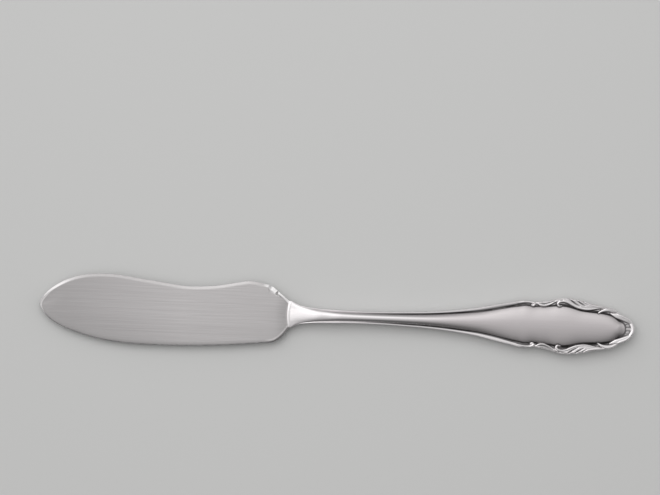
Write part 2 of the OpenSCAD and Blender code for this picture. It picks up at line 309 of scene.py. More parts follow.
def linear(hex_code: str) -> tuple[float, float, float, float]:
    """Turns an sRGB hex colour to linear light.

    Args:
        hex_code: Six hex digits, such as 8090a0.

    Returns:
        Red, green and blue, and full alpha.
    """
    share = np.array(list(bytes.fromhex(hex_code))) / 255
    curved = ((share + SRGB_OFFSET) / (1 + SRGB_OFFSET)) ** SRGB_POWER
    return (*np.where(share <= SRGB_TOE, share / SRGB_SLOPE, curved).tolist(), 1.0)


def connect(tree: NodeTree, node: bpy.types.Node, inputs: dict) -> None:
    """Fills a node's inputs.

    Args:
        tree: Node tree that holds the node.
        node: The node.
        inputs: Values, or sockets to link, by the name or number of the node's input.
    """
    for key, value in inputs.items():
        if isinstance(value, NodeSocket):
            tree.links.new(value, node.inputs[key])
        else:
            node.inputs[key].default_value = value


def add_node(tree: NodeTree, kind: str, inputs: dict | None = None, **settings: object) -> bpy.types.Node:
    """Adds a node with its settings and links.

    Args:
        tree: Node tree that gets the node.
        kind: Blender's name of the node's type.
        inputs: Values, or sockets to link, by the name or number of the node's input.
        settings: Properties of the node.

    Returns:
        The new node.
    """
    made = tree.nodes.new(kind)
    for key, value in settings.items():
        setattr(made, key, value)
    connect(tree, made, inputs or {})
    return made


def new_material(name: str) -> tuple[Material, NodeTree, bpy.types.Node]:
    """Starts a node material.

    Args:
        name: Name of the material.

    Returns:
        The material, its node tree and its shader.
    """
    made = bpy.data.materials.new(name)
    made.use_nodes = True
    return made, made.node_tree, made.node_tree.nodes["Principled BSDF"]


def streaks(
        tree: NodeTree, length: float, width: float, detail: float, coarseness: float = 0.6) -> NodeSocket:
    """Draws noise that is stretched along the knife, as brushing leaves it.

    Args:
        tree: Node tree that gets the nodes.
        length: Length of a streak in mm.
        width: Width of a streak in mm.
        detail: Finer layers of noise on top.
        coarseness: Strength of each finer layer as a share of the one before.

    Returns:
        The noise's value, from 0 to 1.
    """
    place = add_node(tree, "ShaderNodeTexCoord").outputs["Object"]
    scale = (1 / (length * MM), 1 / (width * MM), 1 / (width * MM))
    stretched = add_node(tree, "ShaderNodeMapping", {"Vector": place, "Scale": scale}).outputs["Vector"]
    noise = {"Vector": stretched, "Scale": 1.0, "Detail": detail, "Roughness": coarseness}
    return add_node(tree, "ShaderNodeTexNoise", noise).outputs["Fac"]


class Blend(Enum):
    """How a tint goes over the colour under it."""

    COVER = "MIX"
    SHADE = "MULTIPLY"


def layered(tree: NodeTree, base: str, *layers: tuple[Blend, NodeSocket, str]) -> NodeSocket:
    """Lays tints over a base colour, one after the other.

    Args:
        tree: Node tree that gets the nodes.
        base: Hex colour underneath.
        layers: How each tint goes on, its share and its hex colour.

    Returns:
        The colour on top.
    """
    colour = linear(base)
    for blend, share, tint in layers:
        colour = add_node(tree, "ShaderNodeMix", {FACTOR: share, COLOUR_A: colour, COLOUR_B: linear(tint)},
                          data_type="RGBA", blend_type=blend.value).outputs[COLOUR_OUT]
    return colour


@dataclass(frozen=True)
class BrushedStainless:
    """Stainless blade steel, ground and brushed lengthwise: a grey satin with fine lines along the blade."""

    colour: str = "cfcccc"
    dark_colour: str = "c0bdbd"
    painted_highlight_colour: str = "f4f2f2"
    # Painted shade darkens the steel towards the tip; the painted highlight goes over it at the notch and
    # round the tip
    painted_tip_shade: str = "c8c8c8"
    painted_shade_reach: Span = (-45.0, -100.0)
    roughness: float = 0.27
    streak_length: float = 70.0
    streak_width: float = 0.35
    streak_detail: float = 3.0
    fine_length: float = 14.0
    # Real brush lines are a few hundredths of a millimetre wide; these are just coarse enough to show
    fine_width: float = 0.14
    fine_detail: float = 2.0
    fine_share: float = 0.5
    # Range of the noise over which the steel goes from its dark colour to its light one
    contrast: Span = (0.3, 0.7)
    relief: float = 0.02
    relief_strength: float = 0.08

    def material(self) -> Material:
        """Makes the material; brushed lines carry its tone and a shallow relief, painted shade darkens it
        towards the tip and a painted highlight lightens the eased corner.

        Returns:
            The material.
        """
        made, tree, shader = new_material("brushed_stainless")
        broad = streaks(tree, self.streak_length, self.streak_width, self.streak_detail)
        fine = streaks(tree, self.fine_length, self.fine_width, self.fine_detail)
        lines = add_node(tree, "ShaderNodeMix", {
            FACTOR: self.fine_share, NUMBER_A: broad, NUMBER_B: fine}).outputs[0]
        low, high = self.contrast
        share = add_node(tree, "ShaderNodeMapRange", {
            "Value": lines, "From Min": low, "From Max": high}).outputs[0]
        place = add_node(tree, "ShaderNodeTexCoord").outputs["Object"]
        lengthwise = add_node(tree, "ShaderNodeSeparateXYZ", {"Vector": place}).outputs["X"]
        # Painted shade: the colour darkens along X towards the tip
        start, end = self.painted_shade_reach
        tipward = add_node(tree, "ShaderNodeMapRange", {
            "Value": lengthwise, "From Min": start * MM, "From Max": end * MM}).outputs[0]
        # Painted highlight: the mesh's share lightens the eased corner at the notch and round the tip
        painted_highlight = add_node(tree, "ShaderNodeAttribute", attribute_name="painted_highlight").outputs["Fac"]
        colour = layered(
            tree, self.dark_colour, (Blend.COVER, share, self.colour),
            (Blend.SHADE, tipward, self.painted_tip_shade), (Blend.COVER, painted_highlight, self.painted_highlight_colour))
        bump = add_node(tree, "ShaderNodeBump", {
            "Height": lines, "Strength": self.relief_strength, "Distance": self.relief * MM})
        connect(tree, shader, {
            "Base Color": colour, "Normal": bump.outputs["Normal"], "Roughness": self.roughness,
            "Metallic": 1.0})
        return made


@dataclass(frozen=True)
class SilverPlate:
    """Silver plate over nickel silver: a satin field, a polished border and neck, and recesses darkened with
    painted shade.
    """

    colour: str = "f7f3f4"
    worn_colour: str = "eeeaeb"
    satin_shade: str = "e6e4e4"
    # Near-black grey painted into the recesses as shade
    painted_shade_colour: str = "454343"
    field_roughness: float = 0.27
    polished_roughness: float = 0.16
    streak_length: float = 30.0
    streak_width: float = 0.3
    streak_detail: float = 3.0
    relief: float = 0.02
    relief_strength: float = 0.05

    def material(self) -> Material:
        """Makes the material; the mesh says where it is polished and where painted shade darkens a recess.

        Returns:
            The material.
        """
        made, tree, shader = new_material("silver_plate")
        lines = streaks(tree, self.streak_length, self.streak_width, self.streak_detail)
        polish = add_node(tree, "ShaderNodeAttribute", attribute_name="polish").outputs["Fac"]
        matt = add_node(tree, "ShaderNodeMapRange", {
            "Value": polish, "To Min": 1.0, "To Max": 0.0}).outputs[0]
        # Painted shade: the mesh's share darkens the grooves, moats and cuts towards a near-black grey
        painted_shade = add_node(tree, "ShaderNodeAttribute", attribute_name="painted_shade").outputs["Fac"]
        colour = layered(
            tree, self.worn_colour, (Blend.COVER, lines, self.colour),
            (Blend.SHADE, matt, self.satin_shade), (Blend.COVER, painted_shade, self.painted_shade_colour))
        rough = add_node(tree, "ShaderNodeMapRange", {
            "Value": polish, "To Min": self.field_roughness, "To Max": self.polished_roughness})
        bump = add_node(tree, "ShaderNodeBump", {
            "Height": lines, "Strength": self.relief_strength, "Distance": self.relief * MM})
        connect(tree, shader, {
            "Base Color": colour, "Roughness": rough.outputs[0], "Normal": bump.outputs["Normal"],
            "Metallic": 1.0})
        return made


@dataclass(frozen=True)
class FiledSolder:
    """Silver solder filed flush: a grey line, a little rougher and darker than the plate beside it."""

    colour: str = "c9c6c2"
    file_mark: float = 0.2
    mark_detail: float = 2.0
    roughness: Span = (0.3, 0.5)

    def material(self) -> Material:
        """Makes the material; file marks break its gloss.

        Returns:
            The material.
        """
        made, tree, shader = new_material("filed_solder")
        marks = streaks(tree, self.file_mark, self.file_mark, self.mark_detail)
        low, high = self.roughness
        rough = add_node(tree, "ShaderNodeMapRange", {"Value": marks, "To Min": low, "To Max": high})
        connect(tree, shader, {
            "Base Color": linear(self.colour), "Roughness": rough.outputs[0], "Metallic": 1.0})
        return made


@dataclass(frozen=True)
class ResinCement:
    """Resin and brick-dust cement, poured hot: dull, tan and speckled with grit."""

    colour: str = "b39b78"
    grit_colour: str = "7d6848"
    grit: float = 0.4
    grit_detail: float = 4.0
    relief: float = 0.1
    relief_strength: float = 0.4
    roughness: float = 0.85

    def material(self) -> Material:
        """Makes the material; grit gives it specks and a grainy surface.

        Returns:
            The material.
        """
        made, tree, shader = new_material("resin_cement")
        specks = streaks(tree, self.grit, self.grit, self.grit_detail)
        colour = layered(tree, self.grit_colour, (Blend.COVER, specks, self.colour))
        bump = add_node(tree, "ShaderNodeBump", {
            "Height": specks, "Strength": self.relief_strength, "Distance": self.relief * MM})
        connect(tree, shader, {
            "Base Color": colour, "Normal": bump.outputs["Normal"], "Roughness": self.roughness})
        return made


# Blade


@dataclass(frozen=True)
class Joint:
    """The arc in plan along which the blade meets the handle."""

    width: float = 7.78
    bulge: float = 0.5
    offset: float = 0.4

    def x(self, y: Array) -> Array:
        """Gives the arc's X at a height y: a parabola that bulges towards the blade."""
        return self.offset - self.bulge * (1 - (2 * y / self.width) ** 2)


@dataclass(frozen=True)
class Blade:
    """The blade and its tang in one piece, with an eased spine, a ground edge and a stepped thumb notch."""

    joint: Joint
    length: float = 73.0
    hump: float = 9.7
    waist: float = 7.0
    shoulder: float = 9.2
    drop: float = 10.5
    thickness: float = 1.4
    # The face rolls over gently towards the edge, more so in the tip's half, and ends in a narrow bevel
    roll_width: float = 9.0
    roll_depth: Table = ((-45, 0.36), (-18, 0.14))
    bevel_width: float = 1.4
    bevel_depth: float = 0.1
    edge_round: float = 0.15
    edge_fullness: float = 0.8
    # Width of the eased spine along X: it opens to a step at the notch and runs on narrow to the joint
    ease_width: Table = (
        (-9, 0.8), (-6.3, 0.8), (-5.4, 1.0), (-4.7, 1.6), (-3.4, 1.35), (-2.4, 0.85), (-1, 0.7))
    spine_depth: float = 0.2
    spine_power: float = 1.3
    # How far round the tip the eased corner goes, and the width to which it narrows there
    tip_wrap: float = 4.0
    wrap_width: float = 0.05
    # The notch's two facets: where they begin and part, their fall across and along, and how crisp they are
    notch_span: Span = (-5.7, -5.2)
    notch_break: float = -3.1
    notch_slope: float = 0.24
    notch_rise: float = 0.11
    notch_deepest: float = 0.55
    facet_crispness: float = 5.0
    # The eased corner's colour is lightened with a painted highlight at the notch, and less so round the tip
    painted_highlight_notch: Span = (-7.7, -5.7)
    painted_highlight_tip: Span = (-62.0, -68.0)
    tip_highlight_share: float = 0.45
    dimple: tuple[float, float] = (-3.2, 6.1)
    dimple_radius: float = 0.32
    dimple_depth: float = 0.22
    dish_length: float = 3.5
    dish_depth: float = 0.13
    # Faint ridge along the heel: its way in from the edge, its size, and where along X it comes up
    heel_line_in: float = 0.5
    heel_line_width: float = 0.26
    heel_line_height: float = 0.06
    heel_line_span: Span = (-6.5, -4.5)
    tang_length: float = 46.0
    tang_width: float = 2.0
    tang_end_width: float = 1.2
    tang_thickness: float = 0.9
    # Length over which the rows take up the joint's bow, and how far the lines run on into the joint
    bow_length: float = 6.0
    sink: float = 1.0
    # Spacing of the mesh's rows: over the blade, at the joint and at the tip, and where it changes
    row_step: float = 0.4
    joint_row_step: float = 0.14
    joint_rows: Span = (-12.0, -8.0)
    tip_row_step: float = 0.16
    tip_rows: Span = (-66.0, -71.0)
    # Columns of the mesh, as distances from the spine and from the edge
    spine_columns: tuple[float, ...] = (
        0, 0.04, 0.08, 0.14, 0.2, 0.28, 0.36, 0.46, 0.58, 0.72, 0.9, 1.1, 1.35, 1.6, 1.9, 2.3)
    edge_columns: tuple[float, ...] = (
        0, 0.06, 0.14, 0.24, 0.36, 0.5, 0.66, 0.84, 1.02, 1.2, 1.38, 1.54, 1.66, 1.8, 2.0, 2.4)
    middle_columns: int = 16
    full_chord: float = 6.0

    def lines(self) -> tuple[Array, Array]:
        """Draws the spine and the edge, each a smooth curve through its knots.

        Returns:
            The two lines, from the joint to the tip.
        """
        # Knots hold X as a share of the length, and Y as a share of a named height or between two of them
        mouth = self.joint.width / 2
        climb = mix(mouth, self.shoulder, np.array([0.435, 0.807, 0.894]))
        fall = mix(self.waist, self.shoulder, np.array([0.78, 0.27]))
        spine = np.array([
            [self.sink / self.length, mouth - 0.5 * self.sink], [-0.035, climb[0]], [-0.072, climb[1]],
            [-0.1, climb[2]], [-0.16, self.shoulder], [-0.2, fall[0]], [-0.28, fall[1]], [-0.39, self.waist],
            [-0.56, mix(self.waist, self.hump, 0.5)], [-0.75, self.hump], [-0.84, 0.92 * self.hump],
            [-0.92, 0.68 * self.hump], [-0.975, 0.35 * self.hump], [-1, 0]])
        heel = mix(-mouth, -0.78 * self.drop, 0.77)
        edge = np.array([
            [self.sink / self.length, 0.3 * self.sink - mouth], [-0.028, heel], [-0.048, -0.78 * self.drop],
            [-0.1, -0.83 * self.drop], [-0.2, -0.9 * self.drop], [-0.35, -0.967 * self.drop],
            [-0.52, -self.drop], [-0.67, -0.97 * self.drop], [-0.75, -0.9 * self.drop],
            [-0.83, -0.765 * self.drop], [-0.915, -0.555 * self.drop], [-0.955, -0.395 * self.drop],
            [-0.985, -0.2 * self.drop], [-1, 0]])
        stretch = np.array([self.length, 1])
        spine, edge = spine * stretch, edge * stretch
        lines = (smooth_curve(k, 2 * k[0] - k[1], other[-2]) for k, other in ((spine, edge), (edge, spine)))
        return tuple(self.from_joint(line) for line in lines)

    def from_joint(self, line: Array) -> Array:
        """Cuts a line where it crosses the joint's arc.

        Args:
            line: Points from inside the joint to the tip.

        Returns:
            The part from the arc on, kept inside the blade's box.
        """
        past = line[:, 0] - self.joint.x(line[:, 1])
        cut = int(np.argmax(past < 0))
        share = past[cut - 1] / (past[cut - 1] - past[cut])
        kept = np.vstack([mix(line[cut - 1], line[cut], share), line[cut:]])
        return np.clip(kept, (-self.length, -self.drop), (self.sink, self.hump))

    def eased(self, plan: Array, spine: Array, edge: Array) -> tuple[Array, Array]:
        """Works out how far the corner along the spine and round the tip falls away.

        It falls as a power of the way in. At the notch it is two flat facets instead, one after the other,
        each of them deepest at its end by the tip.

        Args:
            plan: Points in plan, one a row.
            spine: The spine line.
            edge: The edge line.

        Returns:
            The depths, and the share of painted highlight at each point from 0 to 1.
        """
        back = edge[::-1]
        wrap = back[1:][travelled(back)[1:] < self.tip_wrap]
        rim = np.vstack([spine, wrap])
        narrowing = np.linspace(self.ease_width[0][1], self.wrap_width, len(wrap))
        gap, index = nearest(plan, rim)
        width = np.concatenate([straight_at(spine[:, 0], self.ease_width), narrowing])[index]
        inside = np.clip(1 - gap / width, 0, 1)
        whole = ease(inside * self.facet_crispness)
        at = rim[index, 0]
        ahead = np.where(at < self.notch_break, self.notch_break, 0) - at
        facet = self.notch_slope * inside * width + self.notch_rise * ahead * whole
        plain = self.spine_depth * inside ** self.spine_power
        depth = mix(plain, np.minimum(facet, self.notch_deepest), rise(at, self.notch_span))
        # Painted highlight: a lighter colour on the eased corner at the notch and round the tip
        painted_highlight = np.maximum(rise(at, self.painted_highlight_notch), self.tip_highlight_share * rise(at, self.painted_highlight_tip))
        return depth, painted_highlight * whole

    def ground(self, x: Array, reach: Array) -> Array:
        """Works out how far the face falls away towards the edge.

        It falls as a square over the roll, as a cube over the bevel and as a small quarter round.

        Args:
            x: X of the points.
            reach: Distances from the edge.

        Returns:
            The depths.
        """
        depth = straight_at(x, self.roll_depth) * np.clip(1 - reach / self.roll_width, 0, 1) ** 2
        depth += self.bevel_depth * np.clip(1 - reach / self.bevel_width, 0, 1) ** 3
        corner = np.clip(1 - reach / self.edge_round, 0, 1)
        return depth + self.edge_fullness * self.edge_round * (1 - np.sqrt(1 - corner ** 2))

    def half_thickness(self, plan: Array, spine: Array, edge: Array) -> tuple[Array, Array]:
        """Works out the blade's half thickness from the distances to its two lines.

        The deeper of the eased corner and the ground face counts, less a round dimple in the notch and a
        shallow dish at the joint. A faint ridge, a bell curve across, follows the heel.

        Args:
            plan: Points in plan, one a row.
            spine: The spine line.
            edge: The edge line.

        Returns:
            The half thicknesses, and the share of painted highlight at each point from 0 to 1.
        """
        x = plan[:, 0]
        reach, _ = nearest(plan, edge)
        corner, painted_highlight = self.eased(plan, spine, edge)
        away = np.linalg.norm(plan - np.array(self.dimple), axis=1) / self.dimple_radius
        pit = self.dimple_depth * np.clip(1 - away ** 2, 0, 1)
        dish = self.dish_depth * np.clip(1 + x / self.dish_length, 0, 1) ** 2
        bell = np.exp(-((reach - self.heel_line_in) / self.heel_line_width) ** 2)
        ridge = self.heel_line_height * bell * rise(x, self.heel_line_span)
        half = self.thickness / 2 - np.maximum(corner, self.ground(x, reach)) - pit - dish + ridge
        return half, painted_highlight * (pit == 0)

    def tang(self, y: Array) -> Array:
        """Gives the tang's upper points at its end and at its root, spread like those of the blade.

        Args:
            y: Y of the blade's first row, from the spine to the edge.

        Returns:
            Two rows of points.
        """
        shares = (y - y[-1]) / (y[0] - y[-1]) * 2 - 1
        root_y, end_y = shares * self.tang_width / 2, shares * self.tang_end_width / 2
        high = np.full(len(y), self.tang_thickness / 2)
        root = np.column_stack([self.joint.x(root_y), root_y, high])
        return np.stack([np.column_stack([np.full(len(y), self.tang_length), end_y, high]), root])

    def surface(self) -> Surface:
        """Lays a grid of chords from the spine to the edge over the blade, and carries it on into the tang.

        Returns:
            The closed surface.
        """
        spine, edge = self.lines()
        way, edge_way = travelled(spine), travelled(edge)
        closer = (self.row_step - self.joint_row_step) * rise(spine[:, 0], self.joint_rows)
        closer += (self.row_step - self.tip_row_step) * rise(spine[:, 0], self.tip_rows)
        at = spaced(spine, self.row_step - closer)
        s = along(spine, way, at)
        e = along(edge, edge_way / edge_way[-1] * way[-1], at)
        chord = lengths(e - s)
        scale = np.minimum(1, chord / self.full_chord)
        near = np.array(self.spine_columns) * scale
        far = chord - np.array(self.edge_columns)[::-1] * scale
        share = np.linspace(0, 1, self.middle_columns + 2)[1:-1]
        plan = on_chords(s, e, np.hstack([near, mix(near[:, -1:], far[:, :1], share), far]))
        half, painted_highlight = self.half_thickness(plan.reshape(-1, 2), spine, edge)
        bow = self.joint.x(np.clip(plan[..., 1], -s[0, 1], s[0, 1])) - self.joint.x(s[0, 1])
        plan[..., 0] += bow * (1 - ease(-plan[..., 0] / self.bow_length))
        tang = self.tang(plan[0, :, 1])
        top = np.concatenate([tang, np.dstack([plan, half.reshape(plan.shape[:2])])])
        rows, cols, _ = top.shape
        number = np.arange(rows * cols).reshape(rows, cols)
        under = number + rows * cols
        quads = np.vstack([
            grid_faces(rows, cols), grid_faces(rows, cols, rows * cols)[:, ::-1],
            strip_faces(number[:, 0], under[:, 0]), strip_faces(under[:, -1], number[:, -1]),
            strip_faces(under[0], number[0])])
        upper = top.reshape(-1, 3)
        shine = np.concatenate([np.zeros(len(tang) * cols), painted_highlight])
        points = np.vstack([upper, upper * (1, 1, -1)])
        return Surface(points, quads, values={"painted_highlight": np.tile(shine, 2)})

    def build(self, place: KnifeFrame, finish: Material) -> None:
        """Makes the blade and dresses it.

        Args:
            place: Frame that carries the points to the row.
            finish: Finish of the blade and its tang.
        """
        blade = self.surface().piece("ground_blade", place)
        blade.data.materials.append(finish)
        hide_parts("blade")


# Handle


@dataclass(frozen=True)
class Stroke:
    """One stroke of the die: knots of X, distance from the axis, half width, and crest or depth of cut."""

    knots: tuple[tuple[float, float, float, float], ...]
    fullness: float = 0.5
    squareness: float = 2.0
    step: float = 0.05
    least_width: float = 0.02

    def near(self, plan: Array, margin: float) -> tuple[Array, Array, Array]:
        """Measures from points to the stroke's line.

        Args:
            plan: Points in plan, one a row.
            margin: How far past the stroke's half width points still count.

        Returns:
            Which points count, their distances to each point of the line, and the line's own columns.
        """
        curve = open_curve(np.array(self.knots, float))
        line = along(curve, travelled(curve), spaced(curve, self.step))
        reach = line[:, 2].max() + margin
        low, high = line[:, :2].min(axis=0) - reach, line[:, :2].max(axis=0) + reach
        which = np.flatnonzero(np.all((plan > low) & (plan < high), axis=1))
        return which, np.linalg.norm(plan[which, None] - line[None, :, :2], axis=-1), line

    def moat(self, plan: Array, width: float) -> Array:
        """Gives 1 on the stroke and eases to 0 beside it.

        Args:
            plan: Points in plan, one a row.
            width: Way from the stroke's side to where nothing is left.

        Returns:
            The share at each point.
        """
        which, distance, line = self.near(plan, width)
        share = np.zeros(len(plan))
        share[which] = ease(1 - (distance - line[:, 2]).min(axis=1) / width)
        return share

    def lift(self, plan: Array, ground: Array) -> Array:
        """Works out how far the stroke stands above the ground.

        Round each point of the line the surface rises to the crest as one less a power of the distance over
        the half width, the squareness, all to the power of the fullness. The highest of these counts.

        Args:
            plan: Points in plan, one a row.
            ground: Heights of the ground there.

        Returns:
            The lift at each point, 0 beside the stroke.
        """
        which, distance, line = self.near(plan, 0)
        across = distance / np.maximum(line[:, 2], self.least_width)
        share = np.clip(1 - across ** self.squareness, 0, 1) ** self.fullness
        lifted = np.zeros(len(plan))
        lifted[which] = np.maximum((line[:, 3] - ground[which, None]) * share, 0).max(axis=1)
        return lifted

    def depth(self, plan: Array) -> Array:
        """Works out how deep the stroke cuts: its depth times one less the square of the way across.

        Args:
            plan: Points in plan, one a row.

        Returns:
            The depth at each point, 0 beside the stroke.
        """
        which, distance, line = self.near(plan, 0)
        share = np.clip(1 - (distance / np.maximum(line[:, 2], self.least_width)) ** 2, 0, 1)
        cut = np.zeros(len(plan))
        cut[which] = (line[:, 3] * share).max(axis=1)
        return cut


# The border's raised forms from the thread's end to the handle's end, on one side of the axis
RAISED = (
    # Bud that ends the thread
    Stroke(((68.0, 6.1, 0.3, 1.55), (69.6, 6.42, 0.32, 1.6), (70.9, 6.5, 0.36, 1.7), (72.0, 6.35, 0.44, 1.9),
            (72.55, 5.95, 0.46, 2.05), (72.2, 5.6, 0.38, 2.0), (71.7, 5.65, 0.25, 1.85))),
    # Petal: its body and the rim on its inner side
    Stroke(((73.2, 6.3, 0.25, 1.6), (74.2, 6.15, 0.55, 1.8), (75.5, 6.15, 0.66, 1.9), (77.0, 6.55, 0.6, 1.9),
            (78.5, 7.1, 0.42, 1.8), (80.0, 7.55, 0.22, 1.65)), squareness=4.0),
    Stroke(((73.3, 6.2, 0.2, 1.7), (74.1, 5.8, 0.3, 2.05), (75.4, 5.7, 0.34, 2.15), (76.9, 6.15, 0.33, 2.1),
            (78.4, 6.95, 0.27, 1.95), (79.8, 7.5, 0.18, 1.75))),
    # Volute that opens into the rib of the leaf
    Stroke(((80.3, 5.95, 0.22, 1.9), (79.75, 5.85, 0.32, 2.1), (79.2, 6.3, 0.38, 2.25),
            (79.6, 6.9, 0.4, 2.3), (80.8, 7.2, 0.42, 2.3), (82.1, 7.0, 0.42, 2.3), (83.5, 6.35, 0.42, 2.3),
            (84.9, 5.75, 0.42, 2.3), (86.4, 5.4, 0.42, 2.3), (87.9, 5.28, 0.4, 2.3),
            (89.3, 5.42, 0.36, 2.25), (91.1, 5.77, 0.28, 2.1), (92.9, 6.1, 0.18, 1.8))),
    # Body of the leaf
    Stroke(((81.0, 7.35, 0.5, 2.0), (82.5, 7.25, 0.8, 2.1), (84.0, 6.95, 1.05, 2.15), (85.5, 6.55, 1.2, 2.2),
            (87.0, 6.3, 1.15, 2.2), (88.6, 6.1, 0.95, 2.2), (90.4, 6.0, 0.7, 2.1), (92.2, 6.05, 0.42, 1.95),
            (93.8, 6.0, 0.2, 1.7)), squareness=4.0),
    # Second leaf
    Stroke(((91.3, 4.45, 0.16, 1.7), (92.2, 4.95, 0.36, 2.05), (93.3, 5.28, 0.52, 2.2),
            (94.5, 5.32, 0.56, 2.25), (95.6, 5.1, 0.5, 2.15), (96.8, 4.65, 0.3, 1.85)), squareness=4.0),
    # Tongue
    Stroke(((94.9, 4.4, 0.16, 1.7), (95.8, 4.05, 0.46, 2.05), (96.8, 3.75, 0.76, 2.2),
            (98.2, 3.35, 0.88, 2.25), (99.5, 2.75, 0.76, 2.2), (100.6, 2.05, 0.5, 1.95)), squareness=4.0),
    # Shell at the handle's end: an outer arc, a bead on each side and a lobe in the middle
    Stroke(((100.7, 1.75, 0.4, 1.8), (101.15, 1.2, 0.52, 1.95), (101.4, 0.55, 0.56, 2.0),
            (101.45, 0.0, 0.56, 2.0)), squareness=4.0),
    Stroke(((99.95, 1.0, 0.4, 1.43), (100.25, 0.95, 0.42, 1.45))),
    Stroke(((99.7, 0.0, 0.3, 1.42), (100.2, 0.0, 0.42, 1.46), (100.7, 0.0, 0.42, 1.5))),
)

# Grooves that part the lobes of the leaf, the petal and the second leaf
CUT = (
    Stroke(((82.5, 8.1, 0.22, 0.35), (83.3, 7.5, 0.26, 0.5), (84.4, 6.75, 0.24, 0.45),
            (85.7, 6.1, 0.14, 0.2))),
    Stroke(((84.5, 8.0, 0.22, 0.35), (85.4, 7.35, 0.26, 0.5), (86.4, 6.7, 0.22, 0.4),
            (87.4, 6.2, 0.12, 0.15))),
    Stroke(((86.5, 7.6, 0.18, 0.2), (87.3, 7.05, 0.2, 0.3), (88.2, 6.55, 0.12, 0.12))),
    Stroke(((73.9, 6.3, 0.14, 0.2), (75.3, 6.2, 0.2, 0.3), (76.8, 6.6, 0.18, 0.3), (78.3, 7.15, 0.12, 0.2))),
    Stroke(((92.5, 4.78, 0.08, 0.12), (93.4, 4.93, 0.12, 0.12), (94.5, 4.9, 0.12, 0.12),
            (95.4, 4.68, 0.08, 0.08))),
)


class Side(Enum):
    """The two half shells, by the side of the mid plane on which they lie."""

    FRONT = 1
    BACK = -1


@dataclass(frozen=True)
class Ribs:
    """The mesh's ribs over half a shell, one a row, with columns from the axis to the outline.

    Attributes:
        x: X of each rib's end.
        length: Length of each rib.
        limit: Way along each rib to the end of the field.
        way: Ways along the ribs at the columns.
        plan: Places of the columns in plan.
        inward: Distances of the columns from the outline.
    """

    x: Array
    length: Array
    limit: Array
    way: Array
    plan: Array
    inward: Array


